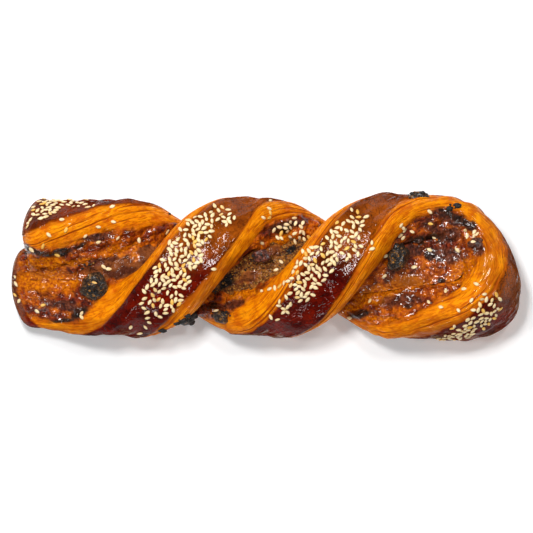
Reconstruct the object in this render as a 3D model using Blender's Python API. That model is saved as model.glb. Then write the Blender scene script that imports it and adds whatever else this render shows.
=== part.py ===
"""Pastry twist, baked, lying flat.

One long strip of laminated dough is folded in half over a dark fruit filling, and the
two halves are twisted round each other. The fold is at +X and the two loose ends are
at -X. X runs along the pastry and Z is up. Lengths are in millimetres until the
meshes are made.
"""

import math
import random

import bmesh
import bpy
import numpy as np
from mathutils import Matrix, Vector
from mathutils.bvhtree import BVHTree

MM = 0.001

# Length of the two halves and the fold that joins them
END_A = -110.2
END_B = -105.0
END_ROUND = 8.0
FOLD_X = 76.6
FOLD_REACH = 19.5
FOLD_SKEW = 3.5
FOLD_SAG = 3.5  # how far the tip of the fold lies towards -Y
FOLD_LEAN = 0.15
CORE = 17.4  # from the axis of the twist to the middle of each half

# Twist: degrees per millimetre in the middle, and near the loose ends and the fold
TURN = 2.908
TURN_LOOSE = 0.88
TURN_FOLD = 0.83
LOOSE_X = -62.8
EASE_X = 56.7
TOP_CROSSING_X = -34.1

# Height: how much the round twist has sunk, and where it meets the tray
SUNK = 0.75
AXIS_Z = 18.1
TRAY_SOFT = 0.12
FLAT = 0.4

# Half of one strip's section: (along the width, out from the axis), from the middle of
# the inner face, over the cut edge, to the middle of the egg-washed skin
TIGHT = [(0, 4.8), (8, 5.2), (14, 6.8), (18, 9.3), (19.9, 12.8)]
TIGHT += [(20.2, 16.8), (19, 21), (16.2, 24.8), (9.6, 28.2), (0, 29.5)]
OPEN = [(0, 4.8), (5.5, 6), (9.5, 9.4), (13.2, 13.6), (16.4, 17.8)]
OPEN += [(18.3, 21.6), (18.2, 24.8), (15.8, 27.2), (9.8, 28.8), (0, 29.5)]
RINGS = (0, 1, 2, 3, 4, 4.5, 5, 5.5, 6, 7, 8, 9)
LAYER_GROOVE = 0.7  # depth of the grooves between the layers of the cut edge
STATIONS = 132
CLEARANCE = 0.4

FILLING_START = -70.0
FILLING_STATIONS = 54
FILLING_REACH = 2.2  # profile index where the filling leaves the inner face
FILLING_BULGE = 1.2

SEED_SIZE = (3.1, 1.9, 0.95)
SEED_SPACING = 3.3
SEED_TOTAL = 122
# Where the sesame lies, seen from above: centre, half-lengths of the drift along and
# across it, its direction, and its share
SEED_DRIFTS = [
    (-35, 2, 17, 5.5, 45, 50),
    (25, 1, 17, 5.5, 46, 50),
    (-92, 26.5, 7, 4, 12, 16),
    (-62, 27, 12, 2, 0, 5),
    (88, -24, 9, 6, 35, 22),
    (0, 0, 60, 14, 0, 8),
]

# Raisins and burnt fruit: place from above, height where it isn't the surface's, size
# along X, Y and Z, turn
RAISINS = [
    (-74.0, -8.8, None, 11.6, 11.0, 8.0, 0),
    (56.3, 4.5, None, 9.4, 12.4, 8.0, -12),
    (-2.0, 4.5, None, 8.2, 4.8, 4.2, 20),
    (-19.2, -21.6, None, 7.4, 5.0, 4.2, 25),
    (-35.6, -22.4, 12.0, 8.6, 5.4, 5.0, 8),
    (90.4, 10.1, None, 7.0, 4.4, 3.4, -20),
    (65.5, 29.6, 25.0, 9.4, 5.0, 4.0, -6),
]
RAISIN_SUNK = 0.45
RANDOM = random.Random(7)


def clear_scene():
    for obj in list(bpy.data.objects):
        bpy.data.objects.remove(obj, do_unlink=True)


def ramp(start, end, x):
    """A smooth step from 0 at start to 1 at end."""
    t = np.clip((x - start) / (end - start), 0, 1)
    return t * t * (3 - 2 * t)


def knee(x, width):
    """0 for negative x and x for positive x, with a soft bend between them."""
    return width * np.logaddexp(0, x / width)


def turn(x):
    """Angle of the twist at x, in degrees: 0 where half A lies on top."""
    loose = (TURN - TURN_LOOSE) * knee(LOOSE_X - x, 5)
    fold = (TURN - TURN_FOLD) * knee(x - EASE_X, 5)
    return TURN * (x - TOP_CROSSING_X) + loose - fold


def opening(x):
    """How far the layers spread apart at the sides: most at the fold, then the ends."""
    spread = 0.55 + 0.45 * ramp(36, 57.6, x) + 0.25 * ramp(-50.3, -71.8, x)
    return np.sin(np.radians(turn(x))) ** 2 * spread


def half_gap(x):
    """Half of the space between the two inner faces."""
    return 0.4 + 4.4 * ramp(-78.3, -52.4, x)


def smooth_profile(points, step):
    """A Catmull-Rom curve through the points, mirrored at both ends."""
    p = np.array(points, float)
    p = np.vstack([p[1] * (-1, 1), p, p[-2] * (-1, 1)])
    index = np.arange(0, len(points) - 1 + step / 2, step)
    i = np.minimum(index.astype(int), len(points) - 2)
    t = (index - i)[:, None]
    a, b, c, d = p[i], p[i + 1], p[i + 2], p[i + 3]
    curve = 2 * b + (c - a) * t + (2 * a - 5 * b + 4 * c - d) * t**2
    return index, 0.5 * (curve + (3 * b - a - 3 * c + d) * t**3)


INDEX, TIGHT_CURVE = smooth_profile(TIGHT, 0.05)
_, OPEN_CURVE = smooth_profile(OPEN, 0.05)


def half_section(index, x):
    """(across, out) of the half section at each x (rows) and profile index (columns)."""
    spread = opening(x)[:, None]
    across, out = [
        np.interp(index, INDEX, TIGHT_CURVE[:, k]) * (1 - spread)
        + np.interp(index, INDEX, OPEN_CURVE[:, k]) * spread
        for k in (0, 1)
    ]
    gap = half_gap(x)[:, None]
    return across, out - (TIGHT[0][1] - gap) * (1 - ramp(TIGHT[0][1], 17, out))


def settle(points):
    """Lets the round twist sink, and flattens what would go through the tray."""
    z = AXIS_Z + SUNK * points[..., 2]
    z = z + (1 - TRAY_SOFT) * knee(0.6 - z, 0.5)
    z = np.maximum(z, FLAT) - FLAT
    x, y = points[..., 0], points[..., 1]
    return np.stack([x, y - 0.2 - FOLD_SAG * ramp(88, 112, x), z], axis=-1)


def uneven(points, amount):
    """Slow lumps that no two stretches of the pastry share."""
    x, y, z = points[..., 0], points[..., 1], points[..., 2]
    lump = np.sin(0.23 * x + 0.31 * y + 1.3) * np.sin(0.19 * z - 0.27 * y + 0.4 * x)
    return amount * (lump + 0.5 * np.sin(0.61 * x - 0.43 * y + 0.5 * z))


LENGTH_B = FOLD_X - FOLD_SKEW - END_B
LENGTH_FOLD = math.pi * CORE
LENGTH_A = FOLD_X + FOLD_SKEW - END_A
LENGTH = LENGTH_B + LENGTH_FOLD + LENGTH_A


def strip_points(s, index, inset=0.0):
    """Points of the strip's surface, in rows by s and columns by profile index.

    s runs from the loose end of B, round the fold, to A's. A negative index is on the
    other edge of the strip. The inset moves the inner face towards the filling.
    """
    beta = np.clip((s - LENGTH_B) / CORE, 0, math.pi)
    back = FOLD_X + FOLD_SKEW - (s - LENGTH_B - LENGTH_FOLD)
    x = np.where(s < LENGTH_B + LENGTH_FOLD, FOLD_X - FOLD_SKEW * np.cos(beta), back)
    x = np.where(s < LENGTH_B, END_B + s, x) + FOLD_REACH * np.sin(beta)
    is_a = s > LENGTH_B + LENGTH_FOLD / 2
    loose_a = np.where(is_a, ramp(-48.1, -91.2, x), 0)
    loose_b = np.where(is_a, 0, ramp(-54.6, -89.1, x))
    angle = np.radians(turn(x) - 36 * loose_a)

    # How far the skin of this half looks up: it lies wide on top and thin below
    up = np.cos(angle) * np.where(is_a, 1, -1) * np.abs(np.cos(beta))
    on_top = np.clip(up, 0, 1)
    below = np.clip(-up, 0, 1) * (1 - loose_a)
    to_end = np.clip(np.where(is_a, LENGTH - s, s) / END_ROUND, 0, 1)
    swell = 1 + 0.04 * ramp(31.7, 57.6, x)
    size = np.sqrt(1 - (1 - to_end) ** 2) * swell

    side = np.where(index < 0, -1.0, 1.0)
    across, out = half_section(np.abs(index), x)
    groove = LAYER_GROOVE * (index % 1 > 0) * (np.abs(index) > 4)
    across = (across - groove) * side
    gap = half_gap(x)[:, None]
    out = gap + (out - gap) * (1 - 0.13 * below)[:, None] - inset
    wide = size * (1 + 0.09 * on_top**4 - 0.1 * below - 0.06 * loose_a - 0.04 * loose_b)
    thick = size * (1 - 0.14 * loose_a)

    nothing = np.zeros_like(x)
    axis_out = np.stack([nothing, np.sin(angle), np.cos(angle)], 1)
    lean = -FOLD_LEAN * np.sin(beta)
    axis_across = np.stack([lean, np.cos(angle), -np.sin(angle)], 1)
    step_x = FOLD_REACH * np.cos(beta) + FOLD_SKEW * np.sin(beta)
    step_out = CORE * np.sin(beta)
    step = np.hypot(step_x, step_out)
    outward = axis_out * (-step_x / step)[:, None]
    outward[:, 0] = step_out / step
    centre = axis_out * (-CORE * swell * np.cos(beta))[:, None]
    centre[:, 0] = x
    centre[:, 1] -= 1.5 * loose_b
    centre[:, 2] += 2 * loose_a - 4 * loose_b

    points = centre[:, None] + (wide[:, None] * across)[..., None] * axis_across[:, None]
    points += (thick[:, None] * (out - CORE))[..., None] * outward[:, None]

    # The loose ends lean on each other along the plane between the two halves
    plane = np.radians(turn(points[..., 0]))
    apart = points[..., 1] * np.sin(plane) + points[..., 2] * np.cos(plane)
    room = half_gap(points[..., 0]) - inset
    kept = np.where(is_a[:, None], np.maximum(apart, room), np.minimum(apart, -room))
    push = np.where(x[:, None] < -28.7, kept - apart, 0)
    points[..., 1] += push * np.sin(plane)
    points[..., 2] += push * np.cos(plane)
    relief = uneven(points, 0.35) * ramp(4, 7, np.abs(index))
    points += (relief * size[:, None])[..., None] * outward[:, None]
    return points


def dough_rings():
    cap = END_ROUND * (1 - np.cos(np.radians([14, 32, 52, 72])))
    s = np.linspace(END_ROUND, LENGTH - END_ROUND, STATIONS - 8)
    s = np.concatenate([cap, s, LENGTH - cap[::-1]])
    index = np.array(RINGS + tuple(-i for i in RINGS[-2:0:-1]), float)
    return strip_points(s, index)


def filling_rings():
    """The space inside the folded strip, less a clearance: rings up to the fold."""
    x = np.linspace(FILLING_START, FOLD_X, FILLING_STATIONS)
    x_b = x - FOLD_SKEW * ramp(45, FOLD_X, x)
    x_a = x + FOLD_SKEW * ramp(45, FOLD_X, x)
    bend = np.radians([14, 30, 46, 60, 72])
    s_b = np.concatenate([x_b - END_B, LENGTH_B + bend * CORE])
    s_a = LENGTH_B + LENGTH_FOLD + FOLD_X + FOLD_SKEW - x_a
    s_a = np.concatenate([s_a, LENGTH_B + LENGTH_FOLD - bend * CORE])
    face = np.array((-FILLING_REACH, -1, 0, 1, FILLING_REACH), float)
    inset = CLEARANCE + 0.3 * ramp(-45, -55, np.concatenate([x, bend]))[:, None]
    half_b = strip_points(s_b, face, inset)
    half_a = strip_points(s_a, face[::-1], inset)
    width = half_b[:, -1:] - half_b[:, :1]
    bulge = FILLING_BULGE * width / np.linalg.norm(width, axis=-1, keepdims=True)
    edge_1 = (half_b[:, -1:] + half_a[:, :1]) / 2 + bulge
    edge_2 = (half_b[:, :1] + half_a[:, -1:]) / 2 - bulge
    return np.concatenate([half_b, edge_1, half_a, edge_2], axis=1)


def close_round(build, ring):
    """Closes a tube's end round a middle point."""
    middle = sum((v.co for v in ring), Vector()) / len(ring)
    tip = build.verts.new(middle)
    for vert, nxt in zip(ring, ring[1:] + ring[:1]):
        build.faces.new((vert, nxt, tip))


def close_across(build, ring):
    """Closes a thin bent end by rungs from one of its long sides to the other."""
    half = len(ring) // 2 - 1
    build.faces.new((ring[half], ring[half - 1], ring[half + 1]))
    for k in range(1, half):
        build.faces.new([ring[half + i] for i in (-k, -k - 1, k + 1, k)])
    build.faces.new((ring[0], ring[-1], ring[-2]))


def closed_tube(name, rings, close_end, material):
    """An object from rings of points."""
    count, around = rings.shape[:2]
    mesh = bpy.data.meshes.new(name)
    build = bmesh.new()
    verts = [[build.verts.new(p * MM) for p in ring] for ring in rings]
    for ring, nxt in zip(verts, verts[1:]):
        for j in range(around):
            k = (j + 1) % around
            build.faces.new((ring[j], ring[k], nxt[k], nxt[j]))
    close_end(build, verts[0])
    close_end(build, verts[-1])
    bmesh.ops.recalc_face_normals(build, faces=build.faces)
    bmesh.ops.triangulate(build, faces=build.faces)
    build.to_mesh(mesh)
    build.free()
    obj = bpy.data.objects.new(name, mesh)
    bpy.context.scene.collection.objects.link(obj)
    mesh.materials.append(material)
    return obj


def principled(name, colour, roughness):
    material = bpy.data.materials.new(name)
    material.use_nodes = True
    shader = material.node_tree.nodes["Principled BSDF"]
    shader.inputs["Base Color"].default_value = (*colour, 1)
    shader.inputs["Roughness"].default_value = roughness
    return material


def surface_tree(obj):
    """A tree for finding points on the object's surface."""
    build = bmesh.new()
    build.from_mesh(obj.data)
    tree = BVHTree.FromBMesh(build)
    build.free()
    return tree


def drop_on(trees, x, y):
    """(point, normal, which tree) of the highest surface at x and y."""
    best = None
    for which, tree in enumerate(trees):
        point, normal, _, _ = tree.ray_cast(Vector((x, y, 0.2)), Vector((0, 0, -1)))
        if point is not None and (best is None or point.z > best[0].z):
            best = (point, normal, which)
    return best


def raisin(name, place, size, angle, collection, material, grow=0.0):
    """A wrinkled oval, or with grow the hollow that it lies in."""
    build = bmesh.new()
    bmesh.ops.create_icosphere(build, subdivisions=2, radius=0.5)
    for vert in build.verts:
        p = vert.co
        wrinkle = math.sin(9 * p.x + 3) * math.sin(8 * p.y + 1) * math.sin(7 * p.z)
        vert.co = p * (1 + 0.10 * wrinkle)
    turned = Matrix.Rotation(math.radians(angle), 4, "Z")
    grown = Matrix.Diagonal([(s + 2 * grow) * MM for s in size] + [1])
    build.transform(Matrix.Translation(place) @ turned @ grown)
    mesh = bpy.data.meshes.new(name)
    build.to_mesh(mesh)
    build.free()
    obj = bpy.data.objects.new(name, mesh)
    collection.objects.link(obj)
    mesh.materials.append(material)
    return obj


def boolean(obj, operation, collection):
    """Joins or cuts the whole collection by one modifier, and applies it."""
    modifier = obj.modifiers.new(operation.title(), "BOOLEAN")
    modifier.operation = operation
    modifier.operand_type = "COLLECTION"
    modifier.collection = collection
    modifier.solver = "EXACT"
    graph = bpy.context.evaluated_depsgraph_get()
    result = bpy.data.meshes.new_from_object(obj.evaluated_get(graph))
    obj.modifiers.clear()
    old = obj.data
    obj.data = result
    bpy.data.meshes.remove(old)


def remove_collection(collection):
    for obj in list(collection.objects):
        bpy.data.objects.remove(obj, do_unlink=True)
    bpy.data.collections.remove(collection)


def keep_main_body(obj):
    """Drops loose scraps and fills sealed hollows, by keeping the largest shell."""
    build = bmesh.new()
    build.from_mesh(obj.data)
    bmesh.ops.triangulate(build, faces=build.faces)
    bmesh.ops.remove_doubles(build, verts=build.verts, dist=2e-6)
    bmesh.ops.dissolve_degenerate(build, edges=build.edges, dist=2e-6)
    left = set(build.faces)
    shells = []
    while left:
        shell = {left.pop()}
        front = list(shell)
        while front:
            for edge in front.pop().edges:
                for face in edge.link_faces:
                    if face in left:
                        left.remove(face)
                        shell.add(face)
                        front.append(face)
        shells.append(shell)
    main = max(shells, key=len)
    scraps = [face for face in build.faces if face not in main]
    bmesh.ops.delete(build, geom=scraps, context="FACES")
    bmesh.ops.recalc_face_normals(build, faces=build.faces)
    build.to_mesh(obj.data)
    build.free()


def sesame_places(trees, raisins):
    """Places for the seeds, drawn from the drifts, clear of fruit and of each other."""
    places = []
    share = [drift[-1] for drift in SEED_DRIFTS]
    for _ in range(20000):
        if len(places) == SEED_TOTAL:
            break
        cx, cy, along, across, way, _ = RANDOM.choices(SEED_DRIFTS, share)[0]
        u = RANDOM.gauss(0, along)
        v = RANDOM.gauss(0, across)
        way = math.radians(way)
        x = cx + u * math.cos(way) - v * math.sin(way)
        y = cy + u * math.sin(way) + v * math.cos(way)
        found = drop_on(trees, x * MM, y * MM)
        if found is None or found[2] != 0 or found[1].z < 0.45:
            continue
        point = found[0]
        if any((point - p).length < SEED_SPACING * MM for p, _, _ in places):
            continue
        if any((point - r[0]).length < r[1] for r in raisins):
            continue
        if (trees[1].find_nearest(point)[3] or 1) < 2.4 * MM:
            continue
        places.append((point, found[1], RANDOM.uniform(0, math.pi)))
    return places


def sesame_seed(place, normal, spin, collection):
    build = bmesh.new()
    bmesh.ops.create_uvsphere(build, u_segments=6, v_segments=3, radius=0.5)
    stand = normal.to_track_quat("Z", "X").to_matrix().to_4x4()
    shape = Matrix.Diagonal([s * MM for s in SEED_SIZE] + [1])
    lie = Matrix.Rotation(math.radians(90), 4, "Y")
    flat = shape @ lie
    lifted = Matrix.Translation(place + normal * 0.12 * MM)
    build.transform(lifted @ stand @ Matrix.Rotation(spin, 4, "Z") @ flat)
    mesh = bpy.data.meshes.new("seed")
    build.to_mesh(mesh)
    build.free()
    collection.objects.link(bpy.data.objects.new("seed", mesh))


def main():
    clear_scene()
    dough_material = principled("baked_laminated_dough", (0.72, 0.26, 0.02), 0.4)
    filling_material = principled("fruit_filling", (0.13, 0.05, 0.02), 0.55)
    raisin_material = principled("dark_raisin", (0.02, 0.012, 0.01), 0.45)

    rings = settle(dough_rings())
    dough = closed_tube("dough", rings, close_round, dough_material)
    rings = settle(filling_rings())
    filling = closed_tube("filling", rings, close_across, filling_material)

    trees = [surface_tree(dough), surface_tree(filling)]
    hollows = bpy.data.collections.new("raisin_hollows")
    bpy.context.scene.collection.children.link(hollows)
    fruit = []
    for number, (x, y, z, long, wide, high, angle) in enumerate(RAISINS, 1):
        if z is None:
            surface = drop_on(trees, x * MM, y * MM)[0].z / MM
            z = surface + (0.5 - RAISIN_SUNK) * high
        place = Vector((x, y, z)) * MM
        size = (long, wide, high)
        scene = bpy.context.scene.collection
        raisin(f"raisin_{number}", place, size, angle, scene, raisin_material)
        raisin("hollow", place, size, angle, hollows, raisin_material, CLEARANCE)
        fruit.append((place, (long / 2 + 2.2) * MM))
    boolean(dough, "DIFFERENCE", hollows)
    boolean(filling, "DIFFERENCE", hollows)
    remove_collection(hollows)
    keep_main_body(filling)

    seeds = bpy.data.collections.new("sesame")
    bpy.context.scene.collection.children.link(seeds)
    for place, normal, spin in sesame_places(trees, fruit):
        sesame_seed(place, normal, spin, seeds)
    boolean(dough, "UNION", seeds)
    remove_collection(seeds)
    keep_main_body(dough)


main()
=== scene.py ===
"""The looks of a baked pastry twist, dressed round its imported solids.

One strip of laminated dough is folded in half over dark fruit filling and twisted, so
the egg-washed skin, the cut layers and the filling follow each other round it. Lengths
are in millimetres until the meshes are made. X runs along the pastry, Z is up, and the
photograph looks straight down.
"""

import math
import random

import bmesh
import bpy
import numpy as np
from mathutils import Matrix, Vector, noise
from mathutils.bvhtree import BVHTree


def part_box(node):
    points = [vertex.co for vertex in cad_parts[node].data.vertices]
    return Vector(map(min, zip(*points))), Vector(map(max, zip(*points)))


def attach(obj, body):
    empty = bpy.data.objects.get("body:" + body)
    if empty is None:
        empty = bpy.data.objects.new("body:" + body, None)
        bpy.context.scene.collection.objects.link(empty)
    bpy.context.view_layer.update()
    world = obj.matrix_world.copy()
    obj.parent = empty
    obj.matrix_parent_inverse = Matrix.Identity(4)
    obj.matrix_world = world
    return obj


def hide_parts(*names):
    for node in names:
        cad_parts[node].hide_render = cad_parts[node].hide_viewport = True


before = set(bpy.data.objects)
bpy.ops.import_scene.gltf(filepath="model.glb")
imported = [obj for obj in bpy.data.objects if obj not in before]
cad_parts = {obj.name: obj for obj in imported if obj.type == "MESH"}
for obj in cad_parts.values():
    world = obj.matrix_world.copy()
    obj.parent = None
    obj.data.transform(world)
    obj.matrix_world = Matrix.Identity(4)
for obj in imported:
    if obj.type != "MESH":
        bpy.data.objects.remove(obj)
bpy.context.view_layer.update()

MM = 0.001
RANDOM = random.Random(11)

# The photograph: its width in pixels, and the real length of one pixel at mid height
PHOTO_PIXELS = 533
PIXEL = 0.4314

# Length of the two halves, and the fold that joins them. CORE is how far the middle of
# each half lies from the axis of the twist, and how wide the fold bends.
END_A = -110.2
END_B = -105.0
END_ROUND = 8.0
FOLD_X = 76.6
FOLD_REACH = 19.5
FOLD_SKEW = 3.5
FOLD_SAG = 3.5
FOLD_LEAN = 0.15
CORE = 17.4

# Twist: degrees per millimetre in the middle, and near the loose ends and the fold;
# where on X and over what length these change; and where half A lies on top
TURN = 2.908
TURN_LOOSE = 0.88
TURN_FOLD = 0.83
LOOSE_X = -62.8
EASE_X = 56.7
TURN_BLEND = 5
TOP_CROSSING_X = -34.1

# Height: what is left of it once the round twist has sunk, where the axis lies, how
# much roundness the tray leaves below, and how much it cuts off flat
SUNK = 0.75
AXIS_Z = 18.1
TRAY_SOFT = 0.12
FLAT = 0.4

# Half of one strip's section: (along the width, out from the axis), from the middle of
# the inner face, over the cut edge, to the middle of the egg-washed skin
TIGHT = [(0, 4.8), (8, 5.2), (14, 6.8), (18, 9.3), (19.9, 12.8)]
TIGHT += [(20.2, 16.8), (19, 21), (16.2, 24.8), (9.6, 28.2), (0, 29.5)]
OPEN = [(0, 4.8), (5.5, 6), (9.5, 9.4), (13.2, 13.6), (16.4, 17.8)]
OPEN += [(18.3, 21.6), (18.2, 24.8), (15.8, 27.2), (9.8, 28.8), (0, 29.5)]
INDEX_LENGTH = 4.3  # millimetres of surface for one step of the profile index

# Each half's width or thickness is changed by these shares of it, on top, below and
# towards the loose ends
WIDER_ON_TOP = 0.09
NARROWER_BELOW = 0.1
THINNER_BELOW = 0.13
NARROWER_END_A = 0.06
THINNER_END_A = 0.14
NARROWER_END_B = 0.04

# Fineness of the dough's mesh: stations along it and in each rounded end, and steps of
# the profile index on the inner face and, from EDGE_START on, round the rest
STATIONS = 450
CAP_STATIONS = 12
INNER_STEP = 0.25
EDGE_STEP = 0.073
EDGE_START = 1.5

# Where one finish gives way to the next on each edge of the strip, read from the photo:
# (millimetres along the strip, profile index). Above SKIN_EDGE the egg-washed skin
# begins. Below LIP the cut layers give way to boiled syrup.
SKIN_EDGE = {
    1: [
        (0, 7.2), (24, 7.1), (36, 6.9), (44, 6.1), (52, 5.6), (62, 6.4), (90, 7.2), (124, 7.0),
        (147, 7.3), (153, 7.7), (160, 8.0), (165, 8.5), (176, 8.4), (190, 7.7), (204, 7.3),
        (211, 6.8), (215, 6.4), (223, 6.6), (231, 7.2), (240, 7.9), (246, 8.5), (256, 8.2),
        (275, 7.3), (335, 7.3), (348, 7.0), (354, 6.1), (362, 6.0), (365, 5.1), (374, 4.3),
        (383, 5.2), (392, 6.3), (400, 7.0),
    ],
    -1: [
        (0, 7.0), (170, 7.0), (230, 7.2), (313, 7.3), (319, 7.0), (322, 6.1), (330, 6.4),
        (337, 7.0), (349, 7.8), (355, 8.0), (360, 7.5), (380, 7.0),
    ],
}
LIP = {
    1: [
        (0, 5.0), (10, 4.3), (14, 3.6), (22, 3.3), (36, 3.8), (43, 3.3), (50, 2.8), (62, 3.0),
        (68, 3.7), (100, 3.0), (130, 2.3), (158, 2.5), (162, 4.0), (165, 4.8), (174, 5.2),
        (187, 5.0), (192, 4.6), (204, 4.5), (208, 3.1), (215, 2.7), (226, 2.5), (235, 3.1),
        (240, 3.8), (256, 4.5), (277, 4.8), (285, 4.0), (300, 3.2), (350, 2.5), (359, 1.5),
        (381, 1.5), (386, 2.1), (390, 3.6), (396, 4.2), (400, 4.4), (406, 4.0), (423, 4.0),
    ],
    -1: [
        (0, 4.0), (76, 4.6), (83, 4.7), (88, 4.1), (92, 3.4), (100, 2.6), (113, 2.1), (140, 2.2),
        (180, 3.0), (230, 3.0), (285, 4.0), (315, 4.1), (318, 3.5), (324, 3.0), (331, 2.3),
        (360, 2.0), (380, 3.0),
    ],
}
# The skin curls over A's loose end: its reach there, and how it grows with the index
END_CURL = 3.0
END_CURL_GROWTH = 2.6

# Spots of another finish on the syrup and the filling, and of painted shade on the cut layers,
# read from the photo in its pixels: middle, half length, half width and direction in degrees.
# Burnt is nearly black, amber is orange and grainy, and plum is dark jam. Smooth is jam over the
# crumb, and dull has dried without a shine. The last list is painted shade: it darkens the cut
# layers low on the near side, at the right end and beside a crack, where less light reaches.
BURNT_SPOTS = [
    (26, 249, 7, 5, 0), (43, 254, 12, 4, -8), (64, 252, 11, 4, 10), (82, 246, 8, 3, 25),
    (80, 313, 11, 5, 35), (62, 321, 14, 2, 5), (285, 228, 12, 5, 20), (213, 306, 7, 4, 10),
    (425, 240, 16, 5, 5), (430, 255, 6, 7, 0), (455, 218, 22, 4, -29), (470, 226, 5, 5, -50),
    (441, 281, 4, 3, 0), (360, 314, 11, 4, 15), (407, 306, 3, 3, 0), (226, 282, 10, 5, 45),
    (290, 250, 6, 3, 35),
]
AMBER_SPOTS = [
    (44, 280, 30, 11, 0), (50, 263, 32, 5, 0), (128, 250, 13, 5, 25), (283, 240, 12, 5, 25),
    (243, 293, 14, 6, 15), (409, 214, 14, 9, 20), (464, 266, 13, 7, 20), (411, 282, 15, 6, -5),
    (378, 294, 26, 9, 18), (262, 300, 12, 5, 35), (352, 308, 13, 5, 30),
    (134, 258, 6, 4, 42), (458, 276, 13, 7, 30), (383, 319, 16, 3, -4), (400, 283, 13, 6, 15),
    (250, 312, 24, 4, 12), (112, 252, 14, 4, 25), (88, 262, 12, 4, 0),
]
PLUM_SPOTS = [
    (447, 217, 17, 7, -28), (100, 262, 12, 4, 8), (277, 228, 11, 5, 20), (300, 223, 8, 5, 0),
    (390, 272, 5, 12, -30), (404, 300, 20, 7, 8), (446, 236, 15, 8, 10), (478, 250, 6, 6, 0),
    (96, 238, 18, 4, 8), (446, 255, 18, 8, 0), (413, 250, 10, 6, 0), (60, 305, 20, 5, -12),
    (230, 305, 15, 4, 15), (431, 227, 9, 6, -20), (124, 265, 11, 5, 38),
]
SMOOTH_SPOTS = [(249, 277, 11, 5, 30), (274, 250, 7, 4, 20)]
DULL_SPOTS = [(44, 280, 32, 14, 0), (30, 262, 20, 6, 0)]
# Painted shade on the cut layers
PAINTED_SHADE_SPOTS = [
    (425, 328, 38, 9, 8), (487, 262, 10, 34, 0), (85, 326, 34, 7, 5), (202, 290, 11, 22, -40),
    (225, 268, 8, 12, -40),
]

# The filling: where it starts, its fineness, how far it is tucked under the dough, and
# how far it runs out along the faces beside it
FILLING_START = -102.0
FILLING_STATIONS = 380
TUCKED_IN = 0.8
POOL_STEPS = np.linspace(0, 1, 36)
POOL_PULL = 6.0
# A lump and a pit of the filling by the fold: place, reach along X and Y, and height
AMBER_LUMP = (61.0, -6.7, 7.0, 3.2, 2.0)
PIT = (68.5, 9.5, 4.5, 4.0, -2.5)

# Relief in millimetres. The cut layers have fine grooves, broad bands and deep cuts. The
# skin swells all over and in puffs, and the syrup boils up and sinks in between. The
# filling has crumbs and lumps.
GROOVES = 0.08
BANDS = 0.25
CUTS = 0.3
SWOLLEN = 0.25
PUFFS = 0.22
BOILED_UP = 1.5
BOILED_IN = 0.5
CRUMBS = 1.1

# Raisins: a tone for each, where 0 is black and dry and 1 is dark red, how much they
# swell past their solids, how wrinkled they are, and the width in metres from which
# they are finely made
RAISIN_TONES = (0.0, 0.0, 1.0, 0.1, 0.0, 0.8, 0.0)
RAISIN_SWELL = 1.08
RAISIN_WRINKLED = 0.16
RAISIN_LARGE = 0.008

# Burnt bits on the outside, in pixels of the photograph, with length and width in mm
BURNT_BITS = [
    (449, 209, 3.2, 2.4), (457, 206, 3.4, 2.6), (169, 214, 1.6, 1.2), (163, 330, 4.0, 2.6),
    (412, 194, 2.4, 1.6), (422, 193, 2.4, 1.6), (183, 320, 4.6, 3.2), (188, 315, 3.0, 2.6),
    (177, 323, 3.2, 2.2),
]
# Burnt filling in the bottom notch, which holds the raisin there against the dough:
# pixel of the photograph, with height and size in mm
NOTCH_LUMPS = [
    (189, 319, 11.5, 5.5), (191, 315, 12.5, 6.0), (187, 321, 10.0, 4.5), (192, 313, 9.5, 6.0),
    (191, 322, 11.0, 3.6), (181, 320, 13.0, 4.0),
]

# Drifts of crumbs and seeds, in pixels of the photograph: centre, spread along and
# across, direction and count. DRIFT_EDGE cuts them off, in squared spreads.
DRIFT_EDGE = 4.5
CRUMB_DRIFTS = [
    (224, 284, 9, 2, 47, 30), (252, 262, 9, 5, 20, 14), (222, 314, 6, 2.5, 10, 30),
    (95, 287, 5, 5, 0, 60), (397, 256, 4, 6, 0, 50), (418, 193, 6, 2, 0, 26),
    (452, 208, 4, 2, 20, 12), (184, 320, 5, 2, 40, 16), (88, 265, 5, 2, 10, 16),
    (286, 252, 5, 2, 40, 14),
]
SEED_DRIFTS = [
    (172, 277, 11, 9, 45, 50), (184, 255, 10, 9, 60, 34), (198, 232, 9, 7, 50, 26),
    (222, 216, 10, 5, 0, 16), (158, 296, 12, 9, 35, 16), (148, 318, 9, 5, 30, 6),
    (302, 286, 10, 7, 52, 32), (316, 264, 11, 9, 45, 34), (342, 250, 11, 7, 30, 22),
    (355, 226, 9, 6, 75, 14), (334, 238, 8, 5, 60, 10), (284, 308, 9, 5, 50, 9),
    (49, 206, 9, 5, 30, 36), (74, 202, 13, 4, 0, 12), (29, 222, 5, 2, 70, 3),
    (292, 232, 10, 7, 10, 22), (470, 326, 12, 4.5, 25, 36), (484, 309, 9, 7, 50, 20),
    (452, 336, 8, 2, 10, 10), (176, 300, 6, 4, 40, 7), (402, 234, 6, 5, 30, 6),
    (468, 236, 5, 4, 0, 6),
]
SEED_STRAYS = [
    (63, 220), (67, 230), (50, 235), (33, 250), (44, 246), (58, 255), (86, 236), (99, 227),
    (99, 242), (118, 238), (114, 222), (113, 207), (104, 267), (109, 269), (95, 283),
    (43, 305), (37, 311), (82, 313), (82, 317), (15, 277), (16, 284), (15, 295), (19, 301),
    (139, 240), (167, 232), (181, 230), (214, 269), (270, 201), (269, 209), (270, 213),
    (263, 218), (269, 218), (262, 243), (281, 262), (276, 270), (262, 291), (270, 289),
    (275, 288), (280, 286), (284, 283), (293, 272), (296, 267), (216, 311), (371, 243),
    (371, 249), (385, 256), (384, 276), (370, 301), (350, 318), (430, 224), (429, 212),
    (434, 238), (429, 250), (457, 250), (414, 267), (445, 291), (463, 289), (475, 284),
    (428, 302), (440, 307), (470, 300), (457, 310), (140, 333), (150, 322),
]

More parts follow.
